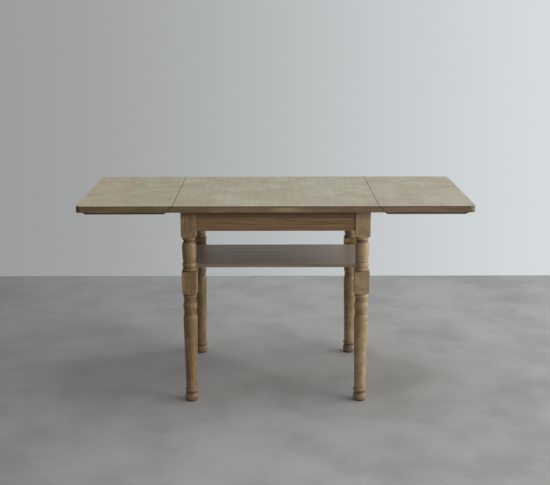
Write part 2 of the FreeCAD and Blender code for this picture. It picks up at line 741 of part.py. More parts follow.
def hinge_plate(label, reach, hand, knuckle_starts, knuckle_span, holes):
    plate = new_body(label)
    flat = new_sketch(plate, label + "_plate", "XY_Plane", plate_floor)
    near, far = sorted(("%s * plate_start" % hand, "%s * %s" % (hand, reach)), key=number)
    draw_rectangle(flat, near, far, "-hinge_long / 2", "hinge_long / 2")
    pad(plate, flat, "plate_thick")
    for index, start in enumerate(knuckle_starts):
        lug = new_sketch(plate, "%s_lug_%s" % (label, "abc"[index]), "XY_Plane", plate_floor)
        lug_near, lug_far = sorted(("%s * plate_start" % hand, "0"), key=number)
        draw_rectangle(lug, lug_near, lug_far, start, "%s + %s" % (start, knuckle_span))
        pad(plate, lug, "plate_thick")
        barrel = new_sketch(plate, "%s_barrel_%s" % (label, "abc"[index]), "XZ_Plane", "-(%s)" % start)
        draw_circles(barrel, [("0", "0")], "knuckle_radius")
        pad(plate, barrel, knuckle_span, reverse=True)
    eye = new_sketch(plate, label + "_eye", "XZ_Plane")
    draw_circles(eye, [("0", "0")], "pin_radius + pin_play")
    bore_through(plate, eye)
    countersink(plate, label + "_screw", "XY_Plane", plate_floor, holes, True)
    return plate


fixed_plate = hinge_plate(
    "hinge_fixed_plate", "fixed_plate_end", "-1",
    ["-hinge_long / 2", "hinge_long / 2 - %s + hinge_play" % knuckle_long], knuckle_long + " - hinge_play",
    [("-" + fixed_screw_x, "%s * %s" % (sign, screw_y)) for sign in ("-1", "1")])
moving_plate = hinge_plate(
    "hinge_moving_plate", "moving_plate_end", "1",
    ["-%s / 2" % knuckle_long], knuckle_long,
    [(x, "%s * %s" % (sign, screw_y)) for sign in ("-1", "1") for x in moving_screw_x])
hinge_pin = new_body("hinge_pin")
flat = new_sketch(hinge_pin, "hinge_pin_round", "XZ_Plane")
draw_circles(flat, [("0", "0")], "pin_radius")
pad(hinge_pin, flat, "hinge_long", symmetric=True)
hinge_places = [(half_width, "%s * hinge_spread" % end, pin_height, 0, up) for end in ("-1", "1")]
right_fixed = [spot for spot in fixed_screws if number(spot[0]) > 0]
for label, source, places in (
    ("hinge_fixed_plates", fixed_plate, hinge_places),
    ("hinge_moving_plates", moving_plate, hinge_places),
    ("hinge_pins", hinge_pin, hinge_places),
    ("hinge_fixed_screws", screws["short_screw"], [(x, y, underside, 0, up) for x, y in right_fixed]),
    ("hinge_moving_screws", screws["short_screw"], [(x, y, underside, 0, up) for x, y in moving_screws]),
):
    parts["right_" + label] = group("right_" + label, source, places)
    parts["left_" + label] = half_turn("left_" + label, parts["right_" + label])

# Folding stay: a lower arm that swings from the side apron parallel to the leaf, and a strut up to the leaf.
pivot_x = "(%s + stay_pivot_out)" % side_face
leaf_pivot_z = "(%s - stay_leaf_drop)" % underside
knuckle_x = "(%s + stay_reach)" % pivot_x
knuckle_z = "(%s - stay_pivot_drop)" % leaf_pivot_z
arm_fall = "(%s + stay_leaf_drop)" % pin_rise
strut_run = "(%s - %s)" % (half_width, pivot_x)
half_arm = "(stay_width / 2)"
lug_radius = "(stay_width / 2 + stay_gap)"
side_by = "(stay_thick + stay_gap)"


def stay_link(label, x, z, y_lift, length, angle):
    link = new_body(label, x, "0", z)
    link.Placement.Rotation = FreeCAD.Rotation(across, number(angle))
    link.setExpression("Placement.Rotation.Angle", bound(angle))
    flat = new_sketch(link, label + "_outline", "XZ_Plane", "-(%s)" % y_lift)
    draw_outline(flat, [("0", "-" + half_arm), (length, "-" + half_arm), (length, half_arm), ("0", half_arm)],
                 half_rounds=(1, 3))
    pad(link, flat, "stay_thick", symmetric=True)
    eyes = new_sketch(link, label + "_eyes", "XZ_Plane")
    draw_circles(eyes, [("0", "0"), (length, "0")], "rivet_radius + pin_play")
    bore_through(link, eyes)
    return link


parts["right_stay_lower_arm"] = stay_link("right_stay_lower_arm", pivot_x, pivot_z, "0",
                                          "sqrt(stay_reach^2 + %s^2)" % arm_fall,
                                          "atan(%s / stay_reach)" % arm_fall)
parts["right_stay_strut"] = stay_link("right_stay_strut", knuckle_x, knuckle_z, side_by,
                                      "sqrt(%s^2 + stay_pivot_drop^2)" % strut_run,
                                      "-atan(stay_pivot_drop / %s)" % strut_run)

apron_bracket = new_body("right_stay_apron_bracket")
flat = new_sketch(apron_bracket, "apron_bracket_plate", "YZ_Plane", side_face)
draw_rectangle(flat, "-bracket_wide / 2", "bracket_wide / 2",
               pivot_z + " - bracket_long / 2", pivot_z + " + bracket_long / 2")
pad(apron_bracket, flat, "bracket_thick")
flat = new_sketch(apron_bracket, "apron_bracket_lug", "XZ_Plane", "-" + side_by)
lug_foot = "%s - %s" % (pivot_z, lug_radius)
lug_head = "%s + %s" % (pivot_z, lug_radius)
draw_outline(flat, [(side_face, lug_foot), (pivot_x, lug_foot), (pivot_x, lug_head), (side_face, lug_head)],
             half_rounds=(1,))
pad(apron_bracket, flat, "stay_thick", symmetric=True)
flat = new_sketch(apron_bracket, "apron_bracket_eye", "XZ_Plane")
draw_circles(flat, [(pivot_x, pivot_z)], "rivet_radius + pin_play")
bore_through(apron_bracket, flat)
countersink(apron_bracket, "apron_bracket_screw", "YZ_Plane", "%s + bracket_thick" % side_face,
            apron_bracket_screws, False)
parts["right_stay_apron_bracket"] = apron_bracket

leaf_bracket = new_body("right_stay_leaf_bracket", leaf_pivot_x, lug_middle, underside)
flat = new_sketch(leaf_bracket, "leaf_bracket_plate", "XY_Plane", "-bracket_thick")
draw_rectangle(flat, "-bracket_long / 2", "bracket_long / 2", "-bracket_wide / 2", "bracket_wide / 2")
pad(leaf_bracket, flat, "bracket_thick")
flat = new_sketch(leaf_bracket, "leaf_bracket_lug", "XZ_Plane")
draw_outline(flat, [("-" + lug_radius, "0"), ("-" + lug_radius, "-stay_leaf_drop"),
                    (lug_radius, "-stay_leaf_drop"), (lug_radius, "0")], half_rounds=(1,))
pad(leaf_bracket, flat, "stay_thick", symmetric=True)
flat = new_sketch(leaf_bracket, "leaf_bracket_eye", "XZ_Plane")
draw_circles(flat, [("0", "-stay_leaf_drop")], "rivet_radius + pin_play")
bore_through(leaf_bracket, flat)
countersink(leaf_bracket, "leaf_bracket_screw", "XY_Plane", "-bracket_thick",
            [("%s * (bracket_long / 2 - bracket_hole_edge)" % along,
              "%s * (bracket_wide / 2 - bracket_hole_edge)" % aside)
             for along in ("-1", "1") for aside in ("-1", "1")], True)
parts["right_stay_leaf_bracket"] = leaf_bracket

# Rivets with domed heads: each grips two flats side by side.
rivet = new_body("rivet")
grip = "(2 * stay_thick + 2 * stay_gap)"
flat = new_sketch(rivet, "rivet_section", "XY_Plane")
draw_outline(flat, [
    ("0", "-rivet_dome"),
    ("rivet_head", "0"),
    ("rivet_radius", "0"),
    ("rivet_radius", grip),
    ("rivet_head", grip),
    ("0", grip + " + rivet_dome"),
], {0: (quarter("rivet_head", "rivet_dome"), 1), 4: (quarter("rivet_head", "rivet_dome"), 1)})
turn_solid(rivet, flat)
for label, x, y, z in (
    ("apron_rivet", pivot_x, "-stay_thick / 2 - stay_gap", pivot_z),
    ("knuckle_rivet", knuckle_x, "-stay_thick / 2", knuckle_z),
    ("leaf_rivet", leaf_pivot_x, "stay_thick / 2", leaf_pivot_z),
):
    parts["right_stay_" + label] = group("right_stay_" + label, rivet, [(x, y, z, 0, up)])
parts["right_stay_apron_screws"] = group("right_stay_apron_screws", screws["short_screw"], [
    ("%s + bracket_thick" % side_face, y, z, -90, across) for y, z in apron_bracket_screws])
parts["right_stay_leaf_screws"] = group("right_stay_leaf_screws", screws["short_screw"], [
    (x, y, underside + " - bracket_thick", 0, up) for x, y in leaf_bracket_screws])
for name in ("lower_arm", "strut", "apron_bracket", "leaf_bracket", "apron_rivet", "knuckle_rivet",
             "leaf_rivet", "apron_screws", "leaf_screws"):
    parts["left_stay_" + name] = half_turn("left_stay_" + name, parts["right_stay_" + name])

doc.recompute()
for item in doc.Objects:
    if any(word in ("Invalid", "Error") for word in item.State):
        raise RuntimeError(item.Label + " failed to build")
for label, item in parts.items():
    if item.Shape.isNull() or not item.Shape.isValid() or not item.Shape.Solids:
        raise RuntimeError(label + " has no valid solid")

os.makedirs("parts", exist_ok=True)
for label, item in parts.items():
    item.Shape.exportStep("parts/%s.step" % item.Label)
print("%d pieces written" % len(parts))
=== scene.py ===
import bpy
import json
import math
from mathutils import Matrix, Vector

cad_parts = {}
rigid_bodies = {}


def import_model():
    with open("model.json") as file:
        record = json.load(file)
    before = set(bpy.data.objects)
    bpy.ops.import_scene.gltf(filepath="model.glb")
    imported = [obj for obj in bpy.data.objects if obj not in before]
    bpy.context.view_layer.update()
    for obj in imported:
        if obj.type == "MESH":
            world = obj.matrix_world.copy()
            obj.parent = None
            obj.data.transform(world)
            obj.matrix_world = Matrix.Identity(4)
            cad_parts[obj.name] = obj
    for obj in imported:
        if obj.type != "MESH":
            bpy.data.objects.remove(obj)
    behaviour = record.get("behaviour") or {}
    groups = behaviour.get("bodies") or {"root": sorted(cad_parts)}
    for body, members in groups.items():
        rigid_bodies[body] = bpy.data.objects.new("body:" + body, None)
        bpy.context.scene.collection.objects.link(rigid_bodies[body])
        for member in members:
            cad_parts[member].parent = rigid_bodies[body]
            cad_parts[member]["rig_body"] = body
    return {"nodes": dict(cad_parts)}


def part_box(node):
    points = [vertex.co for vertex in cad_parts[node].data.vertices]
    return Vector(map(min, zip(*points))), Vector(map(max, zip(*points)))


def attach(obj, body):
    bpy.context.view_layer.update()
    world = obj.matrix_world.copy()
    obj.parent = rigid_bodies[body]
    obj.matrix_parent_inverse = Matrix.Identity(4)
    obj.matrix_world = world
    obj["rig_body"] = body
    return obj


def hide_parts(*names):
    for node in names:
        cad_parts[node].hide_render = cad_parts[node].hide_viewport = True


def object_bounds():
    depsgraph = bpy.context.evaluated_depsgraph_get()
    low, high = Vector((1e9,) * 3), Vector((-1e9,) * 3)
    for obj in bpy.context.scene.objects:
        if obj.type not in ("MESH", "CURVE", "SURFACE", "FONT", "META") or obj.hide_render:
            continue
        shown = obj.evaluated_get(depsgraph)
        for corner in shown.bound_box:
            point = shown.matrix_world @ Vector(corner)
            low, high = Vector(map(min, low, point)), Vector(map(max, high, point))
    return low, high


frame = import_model()
cadLow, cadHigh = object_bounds()  # box of the CAD model
nodes = frame["nodes"]
print("frame loaded,", len(nodes), "nodes")


def linearColour(hexText):
    channels = [int(hexText[i:i + 2], 16) / 255 for i in (1, 3, 5)]
    return [c / 12.92 if c <= 0.04045 else ((c + 0.055) / 1.055) ** 2.4 for c in channels] + [1]


def addNode(tree, kind, settings=None, links=None):
    node = tree.nodes.new(kind)
    for name, value in (settings or {}).items():
        setattr(node, name, value)
    for socket, source in (links or {}).items():
        if isinstance(source, bpy.types.NodeSocket):
            tree.links.new(source, node.inputs[socket])
        else:
            node.inputs[socket].default_value = source
    return node


fullReach = [1, 0]  # the most and the least that a mask gives, where it doesn't say


def layColour(tree, under, over, masks, how="MIX"):
    # a mask is a plain share, or a tuple: a socket, where it starts and ends, its most and its least
    share = 1
    for count, mask in enumerate(masks):
        if isinstance(mask, tuple):
            socket, start, end, *reach = mask
            most, least = reach + fullReach[len(reach):]
            fade = addNode(tree, "ShaderNodeMapRange", {"interpolation_type": "SMOOTHSTEP"}, {
                "Value": socket, "From Min": start, "From Max": end, "To Min": least, "To Max": most})
            mask = fade.outputs["Result"]
        if count > 0:  # several masks show only where they meet
            both = addNode(tree, "ShaderNodeMath", {"operation": "MULTIPLY"}, {0: share, 1: mask})
            mask = both.outputs["Value"]
        share = mask
    first, second = [linearColour(shade) if isinstance(shade, str) else shade for shade in (under, over)]
    mix = addNode(tree, "ShaderNodeMix", {"data_type": "RGBA", "blend_type": how}, {
        0: share, 6: first, 7: second})  # sockets 6 and 7 are the colour pair
    return mix.outputs[2]


def drawLines(tree, along, marks, wideMm):
    drawn = 0
    for at, show in marks:
        line = addNode(tree, "ShaderNodeMath", {"operation": "COMPARE"}, {
            0: along, 1: at, 2: wideMm / 2 / 1000})
        total = addNode(tree, "ShaderNodeMath", {"operation": "MULTIPLY_ADD"}, {
            0: line.outputs["Value"], 1: show, 2: drawn})
        drawn = total.outputs["Value"]
    return drawn


def startMaterial(name):
    material = bpy.data.materials.new(name)
    material.use_nodes = True
    material.node_tree.nodes.clear()
    place = addNode(material.node_tree, "ShaderNodeTexCoord")
    return material, material.node_tree, place.outputs


wearRange = (0.35, 0.65)  # most of a noise texture lies between these


def finishMaterial(tree, finish, colour, height, wear):
    smooth, rough = finish["roughness"]  # where the wear mask is low and where it is high
    bump = addNode(tree, "ShaderNodeBump", links={
        "Strength": finish["bump"], "Distance": finish["bumpMm"] / 1000, "Height": height})
    gloss = addNode(tree, "ShaderNodeMapRange", {"interpolation_type": "SMOOTHSTEP"}, {
        "Value": wear, "From Min": wearRange[0], "From Max": wearRange[1],
        "To Min": smooth, "To Max": rough})
    shader = addNode(tree, "ShaderNodeBsdfPrincipled", links={
        "Base Color": colour, "Roughness": gloss.outputs["Result"], "Normal": bump.outputs["Normal"],
        "Metallic": finish.get("metallic", 0), "Specular IOR Level": finish.get("specular", 0.5)})
    addNode(tree, "ShaderNodeOutputMaterial", links={"Surface": shader.outputs["BSDF"]})


# Oak is ring porous: rings a few mm apart, open pores that read as short dark dashes along the grain, and a
# slow drift of colour along a board; the pores are drawn coarser than life so that they show
oakFigure = {
    "ringTurn": 38, "ringLong": 60, "ringFade": (0.25, 1), "waveUnits": 0.314,  # length of one wave
    "streakLong": 30, "streakFade": (0.38, 0.66), "streakNoise": {"Detail": 4, "Roughness": 0.6},
    "driftLong": 3, "driftFade": (0.35, 0.68), "driftNoise": {"Detail": 3, "Roughness": 0.55},
    "poreLong": 16, "poreFade": (0.58, 0.72), "poreNoise": {"Detail": 1}, "poreDepth": 0.7,
    "stainFade": (0.5, 0.75), "stainNoise": {"Detail": 4, "Roughness": 0.6},
}


def oakGrain(tree, spot, finish):
    rules = dict(oakFigure, **finish)  # a finish may set its own

    def alongGrain(acrossMm, longMm, turn=0):
        size = [1000 / (longMm if axis == rules["grain"] else acrossMm) for axis in "xyz"]
        angle = [math.radians(turn) if axis == rules["grain"] else 0 for axis in "xyz"]
        stretch = addNode(tree, "ShaderNodeMapping", links={
            "Vector": spot, "Scale": size, "Rotation": angle})
        return stretch.outputs["Vector"]

    ringMm = rules["ringMm"]
    rings = addNode(tree, "ShaderNodeTexWave", {"bands_direction": "Y" if rules["grain"] == "x" else "X"}, {
        "Vector": alongGrain(ringMm / rules["waveUnits"], ringMm * rules["ringLong"], rules["ringTurn"]),
        "Scale": 1, "Distortion": 7, "Detail": 2, "Detail Scale": 0.35})
    marks = {}
    for name in ("streak", "drift", "pore"):
        wideMm = rules[name + "Mm"]
        noise = addNode(tree, "ShaderNodeTexNoise", links=dict(
            rules[name + "Noise"], Vector=alongGrain(wideMm, wideMm * rules[name + "Long"]), Scale=1))
        marks[name] = noise.outputs["Fac"]
    stains = addNode(tree, "ShaderNodeTexNoise", links=dict(
        rules["stainNoise"], Vector=spot, Scale=1000 / rules["stainMm"]))
    marks["stain"] = stains.outputs["Fac"]
    colour = layColour(tree, rules["pale"], rules["deep"], [
        (rings.outputs["Fac"], *rules["ringFade"], rules["ringShow"])])
    for name in ("streak", "drift", "stain"):
        colour = layColour(tree, colour, rules[name], [
            (marks[name], *rules[name + "Fade"], rules[name + "Show"])])
    poreStart, poreEnd = rules["poreFade"]
    pores = addNode(tree, "ShaderNodeMapRange", {"interpolation_type": "SMOOTHSTEP"}, {
        "Value": marks["pore"], "From Min": poreStart, "From Max": poreEnd})
    colour = layColour(tree, colour, rules["pore"], [(pores.outputs["Result"], 0, 1, rules["poreShow"])])
    height = addNode(tree, "ShaderNodeMath", {"operation": "MULTIPLY_ADD"}, {
        0: pores.outputs["Result"], 1: -rules["poreDepth"], 2: rings.outputs["Fac"]})
    return colour, height.outputs["Value"], marks["streak"]


# Top: old oak, stripped and bleached on the upper face, with the brown left on its edges and underside
topOak = {
    "name": "bleachedOakTop", "grain": "y", "pale": "#c1bba7", "deep": "#b1a78f", "streak": "#a99d85",
    "drift": "#b2a48c", "stain": "#958b75", "pore": "#8d816b", "ringMm": 22, "streakMm": 8, "driftMm": 120,
    "driftLong": 1.2, "stainMm": 65, "stainFade": (0.4, 0.85), "poreMm": 1.8, "ringShow": 0.2,
    "streakShow": 0.16, "driftShow": 0.75, "stainShow": 0.6, "poreShow": 0.15,
    "boardTones": ["#c4b29a", "#a9ad92", "#b9b4a6", "#c2c1b6", "#bfc1b8", "#c2c2bb", "#bfbeb7", "#c0bdb8"],
    "toneShow": 0.5, "boardShift": (3.1, 5.7, 1.3), "joint": "#655a47", "jointMm": 2.6,
    "seams": [(-0.521, 0.25), (-0.354, 1), (-0.232, 0.2), (-0.067, 0.05), (0.083, 0.05), (0.231, 0.05),
              (0.354, 1)],  # place and strength of each joint between boards
    "worn": "#d2ccb8", "wornMm": 14, "wornShow": 0.5,
    "under": "#c2ac98", "underDark": "#6b563e", "underFade": (0.4, 0.66, 0.5),
    "underPatch": (0.45, 0.7, 0.4), "underTurn": (-0.3, -0.7),
    "edge": "#816647", "edgeDark": "#513e29", "edgeMm": (150, 150, 30), "edgePatch": (0.38, 0.68, 0.85),
    "edgeTurn": (0.75, 0.3, 0.9), "lipShadowZ": (0.711, 0.717, 0.6),
    "bare": "#a8926f", "bareAt": (0.035, -0.304, 0.7065), "bareHalf": (0.06, 0.1, 0.009),
    "bareFade": (1.2, 0.3, 0.8),
    # the rule joint's grime; the same dark paints shade on the end corners, darkest on the left pair
    "jointGrimeAndCornerShade": "#33281d", "grimeMm": 2.4, "shadedCornerY": (0.285, 0.298),
    "corners": [(-0.668, -0.676, 0.95), (0.67, 0.684, 0.6)],
    "rulePin": (0.354, 0.7015), "ruleRadius": 0.0145, "ruleSoft": 0.0005, "endTurn": (0.6, 0.9),
    "roughness": (0.46, 0.58), "bump": 0.2, "bumpMm": 0.4,
}
topNodes = ["center_top", "left_leaf", "right_leaf"]


def makeTopOak(finish):
    material, tree, place = startMaterial(finish["name"])
    axes = addNode(tree, "ShaderNodeSeparateXYZ", links={"Vector": place["Object"]}).outputs
    facing = addNode(tree, "ShaderNodeSeparateXYZ", links={"Vector": place["Normal"]}).outputs
    awayX, awayY, endwise = [
        addNode(tree, "ShaderNodeMath", {"operation": "ABSOLUTE"}, {0: source}).outputs["Value"]
        for source in (axes["X"], axes["Y"], facing["Y"])]  # left and right, front and back are alike
    tone = finish["boardTones"][0]
    for seam, shade in zip(finish["seams"], finish["boardTones"][1:]):  # a tint for each board
        beyond = addNode(tree, "ShaderNodeMath", {"operation": "GREATER_THAN"}, {0: axes["X"], 1: seam[0]})
        tone = layColour(tree, tone, shade, [beyond.outputs["Value"]])
    shift = addNode(tree, "ShaderNodeVectorMath", {"operation": "MULTIPLY_ADD"}, {
        0: tone, 1: finish["boardShift"], 2: place["Object"]})  # no board repeats its neighbour
    colour, height, wear = oakGrain(tree, shift.outputs["Vector"], finish)
    edgeSpot = addNode(tree, "ShaderNodeMapping", links={
        "Vector": place["Object"], "Scale": [1000 / mm for mm in finish["edgeMm"]]})
    patches = addNode(tree, "ShaderNodeTexNoise", links={
        "Vector": edgeSpot.outputs["Vector"], "Scale": 1, "Detail": 3, "Roughness": 0.6}).outputs["Fac"]

    # the underside was never bleached, and keeps its wax and dirt
    under = layColour(tree, colour, finish["under"], [], "MULTIPLY")
    under = layColour(tree, under, finish["underDark"], [(wear, *finish["underFade"])])
    under = layColour(tree, under, finish["edgeDark"], [(patches, *finish["underPatch"])])

    # the upper face is worn along front and back, and dark in the joints
    wornFrom = cadHigh.y - finish["wornMm"] / 1000
    colour = layColour(tree, colour, finish["worn"], [(awayY, wornFrom, cadHigh.y, finish["wornShow"])])
    joints = drawLines(tree, axes["X"], finish["seams"], finish["jointMm"])
    colour = layColour(tree, colour, finish["joint"], [joints])

    # the edges are brown, with a painted shadow line just below the upper face, and one place in front
    # rubbed bare
    edge = layColour(tree, finish["edge"], finish["edgeDark"], [(patches, *finish["edgePatch"])])
    edge = layColour(tree, edge, finish["edgeDark"], [(axes["Z"], *finish["lipShadowZ"])])
    bareSpot = addNode(tree, "ShaderNodeMapping", links={
        "Vector": place["Object"], "Scale": [1 / half for half in finish["bareHalf"]],
        "Location": [-at / half for at, half in zip(finish["bareAt"], finish["bareHalf"])]})
    bare = addNode(tree, "ShaderNodeVectorMath", {"operation": "LENGTH"}, {0: bareSpot.outputs["Vector"]})
    edge = layColour(tree, edge, finish["bare"], [(bare.outputs["Value"], *finish["bareFade"])])
    for start, end, share in finish["corners"]:  # painted shade on the end corners, the left pair darkest
        edge = layColour(tree, edge, finish["jointGrimeAndCornerShade"], [
            (axes["X"], start, end, share), (awayY, *finish["shadedCornerY"])])
    colour = layColour(tree, colour, edge, [(facing["Z"], *finish["edgeTurn"])])
    colour = layColour(tree, colour, tone, [finish["toneShow"]], "SOFT_LIGHT")

    # grime in the rule joint shows as a curve on the front and back edges, past the seam
    past, over = [
        addNode(tree, "ShaderNodeMath", {"operation": "SUBTRACT", "use_clamp": True}, {0: source, 1: pin})
        for source, pin in zip((awayX, axes["Z"]), finish["rulePin"])]
    corner = addNode(tree, "ShaderNodeCombineXYZ", links={
        "X": past.outputs["Value"], "Z": over.outputs["Value"]})
    reach = addNode(tree, "ShaderNodeVectorMath", {"operation": "LENGTH"}, {0: corner.outputs["Vector"]})
    curve = drawLines(tree, reach.outputs["Value"], [(finish["ruleRadius"], 1)], finish["grimeMm"])
    seamX = finish["rulePin"][0]
    colour = layColour(tree, colour, finish["jointGrimeAndCornerShade"], [
        curve, (awayX, seamX - finish["ruleSoft"], seamX), (endwise, *finish["endTurn"])])
    colour = layColour(tree, colour, under, [(facing["Z"], *finish["underTurn"])])
    finishMaterial(tree, finish, colour, height, wear)
    return material


# Legs: turned oak, waxed brown, rubbed pale on the swells and arrises and dark in the quirks
legOak = {
    "name": "waxedTurnedOak", "grain": "z", "pale": "#a2865f", "deep": "#816341", "streak": "#6f5232",
    "drift": "#92714a", "stain": "#7c5d3a", "pore": "#543f27", "ringMm": 7, "streakMm": 5, "driftMm": 60,
    "stainMm": 45, "poreMm": 1.6, "ringShow": 0.5, "streakShow": 0.8, "driftShow": 0.45, "stainShow": 0.4,
    "poreShow": 0.4, "paleStock": "#706858", "rightX": (-0.1, 0.1), "frontY": (-0.1, 0.1, 0.55, 1),
    "leftX": (0.1, -0.1),
    "bands": [  # heights where each rises and falls, its share on the left and right pair, colour and way
        ((-0.1, -0.05), (0.34, 0.29), (1, 0), "#282920", "ADD"),  # paler towards the floor on the left pair
        ((0.485, 0.505), (0.6, 0.575), (1, 0.3), "#30362c", "ADD"),  # wax thinned by hands on the vase
        ((-0.1, -0.05), (0.055, 0.035), (0, 0.35), "#464738", "MIX"),  # dirt on the right feet
    ],
    "rubbed": "#a8926f", "rubRadius": (0.0235, 0.036, 0.5),
    "mottle": "#d6d4ce", "mottleMm": 25, "mottleFade": (0.38, 0.62, 0.65),
    # painted shade under the overhang, more on the left pair
    "overhangShade": "#422d18", "overhangShadeZ": (0.664, 0.693), "overhangShadeShow": (0.65, 0.38),
    "quirk": "#513c25", "quirkRadius": (0.0228, 0.0205, 0.6), "quirkZ": [(0.05, 0.048), (0.2, 0.21)],
    "scribes": [(0.3265, 0.55), (0.3335, 0.55)], "scribeMm": 2,
    "roughness": (0.42, 0.58), "bump": 0.3, "bumpMm": 0.35,
}
legNodes = ["front_left_leg", "front_right_leg", "back_left_leg", "back_right_leg"]


def makeLegOak(finish):
    material, tree, place = startMaterial(finish["name"])
    axes = addNode(tree, "ShaderNodeSeparateXYZ", links={"Vector": place["Object"]}).outputs
    colour, height, wear = oakGrain(tree, place["Object"], finish)
    colour = layColour(tree, colour, finish["paleStock"], [
        (axes["X"], *finish["rightX"]), (axes["Y"], *finish["frontY"])],
        "ADD")  # the right pair is of paler stock, most of all in front
    low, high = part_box("front_right_leg")
    axis = (low + high) / 2  # all four legs lie on this point mirrored, so their radius comes from it
    mirrored = addNode(tree, "ShaderNodeVectorMath", {"operation": "ABSOLUTE"}, {0: place["Object"]})
    fromAxis = addNode(tree, "ShaderNodeVectorMath", {"operation": "SUBTRACT"}, {
        0: mirrored.outputs["Vector"], 1: (abs(axis.x), abs(axis.y), 0)})
    flat = addNode(tree, "ShaderNodeVectorMath", {"operation": "MULTIPLY"}, {
        0: fromAxis.outputs["Vector"], 1: (1, 1, 0)})
    radius = addNode(tree, "ShaderNodeVectorMath", {"operation": "LENGTH"}, {
        0: flat.outputs["Vector"]}).outputs["Value"]
    for rise, fall, shares, shade, how in finish["bands"]:
        colour = layColour(tree, colour, shade, [
            (axes["Z"], *rise), (axes["Z"], *fall), (axes["X"], *finish["leftX"], *shares)], how)
    colour = layColour(tree, colour, finish["rubbed"], [(radius, *finish["rubRadius"])])
    clouds = addNode(tree, "ShaderNodeTexNoise", links={
        "Vector": place["Object"], "Scale": 1000 / finish["mottleMm"], "Detail": 3})
    colour = layColour(tree, colour, finish["mottle"], [
        (clouds.outputs["Fac"], *finish["mottleFade"])], "MULTIPLY")  # handling and polish
    colour = layColour(tree, colour, finish["overhangShade"], [  # painted shade under the overhang, more on the left pair
        (axes["Z"], *finish["overhangShadeZ"]), (axes["X"], *finish["leftX"], *finish["overhangShadeShow"])])
    for away in finish["quirkZ"]:  # below the ankle and above the shaft, whose slim end is no quirk
        colour = layColour(tree, colour, finish["quirk"], [
            (radius, *finish["quirkRadius"]), (axes["Z"], *away)])
    scribed = drawLines(tree, axes["Z"], finish["scribes"], finish["scribeMm"])  # drawn wider than life
    colour = layColour(tree, colour, finish["quirk"], [scribed])
    finishMaterial(tree, finish, colour, height, wear)
    return material


# Aprons, battens, rails and blocks: plain sawn and planed oak under old wax, redder than the legs
frameOak = {
    "name": "waxedFrameOak", "grain": "x", "pale": "#997b57", "deep": "#775b3b", "streak": "#62482d",
    "drift": "#8a6842", "stain": "#976f42", "pore": "#4d3823", "ringMm": 8, "streakMm": 5, "driftMm": 70,
    "stainMm": 60, "poreMm": 1.6, "ringShow": 0.4, "streakShow": 0.8, "driftShow": 0.5, "stainShow": 0.4,
    # painted shade under the overhang
    "poreShow": 0.4, "overhangShade": "#422d18", "overhangShadeZ": (0.664, 0.693, 0.8),
    "roughness": (0.42, 0.58), "bump": 0.3, "bumpMm": 0.35,
}
crossOak = dict(frameOak, name="waxedFrameOakCross", grain="y")
battenOak = dict(frameOak, name="darkBattenOak", pale="#6b5844", deep="#5a4835", streak="#4e3d2c",
                 drift="#624d38", stain="#58452f", pore="#3c2e20",
                 overhangShade=None)  # old dirt and wax left on all over, as no one strips the underside; no painted shade under the overhang
frameNodes = ["front_apron", "back_apron"]
battenNodes = ["left_front_batten", "left_back_batten", "right_front_batten", "right_back_batten"]
crossNodes = ["left_apron", "right_apron", "left_shelf_rail", "right_shelf_rail", "corner_blocks",
              "top_buttons"]

# Shelf: a thin board of another wood, grey-brown under thin old varnish that still has a sheen
shelfBoard = {
    "name": "varnishedShelfBoard", "grain": "x", "pale": "#c3b09f", "deep": "#a18d7c", "streak": "#857061",
    "drift": "#bc987e", "stain": "#978677", "pore": "#74614f", "ringMm": 12, "streakMm": 14, "driftMm": 45,
    "stainMm": 80, "poreMm": 1.8, "ringShow": 0.45, "streakShow": 0.6, "driftShow": 0.55, "stainShow": 0.35,
    # painted light on the shelf's upper face, paler towards the window end on the right
    "poreShow": 0.3, "paintedWindowLight": "#e0d3c7", "windowLightX": (-0.02, 0.31, 0.75), "windowLightTurn": (0.3, 0.75, 1, 0.2),
    "edgeTint": "#e9e4d9", "edgeTurn": (0.75, 0.3),
    "roughness": (0.36, 0.43), "bump": 0.2, "bumpMm": 0.3,
}


def makePlainOak(finish):
    material, tree, place = startMaterial(finish["name"])
    axes = addNode(tree, "ShaderNodeSeparateXYZ", links={"Vector": place["Object"]}).outputs
    facing = addNode(tree, "ShaderNodeSeparateXYZ", links={"Vector": place["Normal"]}).outputs
    colour, height, wear = oakGrain(tree, place["Object"], finish)
    if finish.get("overhangShade"):  # painted shade lies dark under the overhang
        colour = layColour(tree, colour, finish["overhangShade"], [(axes["Z"], *finish["overhangShadeZ"])])
    if finish.get("paintedWindowLight"):  # painted light on the upper face towards the window end, with sawn edges darker than the face
        colour = layColour(tree, colour, finish["paintedWindowLight"], [
            (axes["X"], *finish["windowLightX"]), (facing["Z"], *finish["windowLightTurn"])])
        colour = layColour(tree, colour, finish["edgeTint"], [
            (facing["Z"], *finish["edgeTurn"])], "MULTIPLY")
    finishMaterial(tree, finish, colour, height, wear)
    return material


# Hinges, stays and screws: plain rolled steel gone dull, with brown tarnish in patches
dullSteel = {
    "name": "tarnishedSteel", "clean": "#8f8d87", "tarnish": "#6a5d4e", "tarnishFade": (0.38, 0.72, 0.7),
    "patchMm": 14, "gritMm": 1.2, "metallic": 1, "roughness": (0.36, 0.6), "bump": 0.15, "bumpMm": 0.15,
}
screwSteel = dict(dullSteel, name="rustedScrewSteel", clean="#7f776b", tarnish="#4f3c2a",
                  patchMm=4)  # screw heads rust first, where a driver has scraped them


def makeSteel(finish):
    material, tree, place = startMaterial(finish["name"])
    patches = addNode(tree, "ShaderNodeTexNoise", links={
        "Vector": place["Object"], "Scale": 1000 / finish["patchMm"], "Detail": 4}).outputs["Fac"]
    grit = addNode(tree, "ShaderNodeTexNoise", links={
        "Vector": place["Object"], "Scale": 1000 / finish["gritMm"], "Detail": 2}).outputs["Fac"]
    colour = layColour(tree, finish["clean"], finish["tarnish"], [(patches, *finish["tarnishFade"])])
    finishMaterial(tree, finish, colour, grit, patches)
    return material


def dress(names, material):
    for name in names:
        for slot in nodes[name].material_slots:
            slot.material = material


